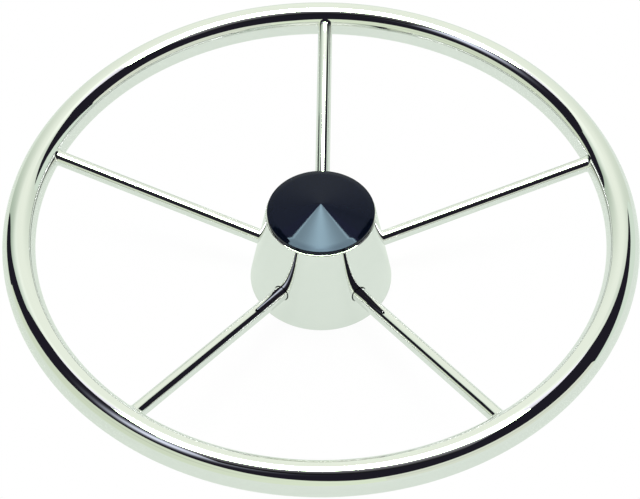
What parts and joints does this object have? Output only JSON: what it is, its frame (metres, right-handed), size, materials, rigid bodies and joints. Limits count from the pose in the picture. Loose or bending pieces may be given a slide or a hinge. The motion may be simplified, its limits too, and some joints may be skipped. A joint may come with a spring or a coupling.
{
  "type": "boat steering wheel",
  "caption": "Polished stainless boat steering wheel with a tube rim, dished round spokes, a bell-shaped hub and a shallow conical black centre cap.",
  "frame": {"origin": "on the wheel's axis, in the plane of the hub's back", "axes": "+Z along the wheel's axis from the helm towards the helmsman, +Y along the first spoke"},
  "size_m": [0.394, 0.394, 0.0687],
  "materials": {
    "polished_stainless": "mirror polished",
    "turned_stainless": "as turned",
    "black_plastic": "satin, moulded"
  },
  "bodies": {
    "root": {"rim_tube": "polished_stainless", "spoke_1": "polished_stainless", "spoke_2": "polished_stainless", "spoke_3": "polished_stainless", "spoke_4": "polished_stainless", "spoke_5": "polished_stainless", "hub_bell": "polished_stainless", "back_plate": "turned_stainless", "hub_boss": "turned_stainless", "centre_cap": "black_plastic"}
  },
  "joints": []
}
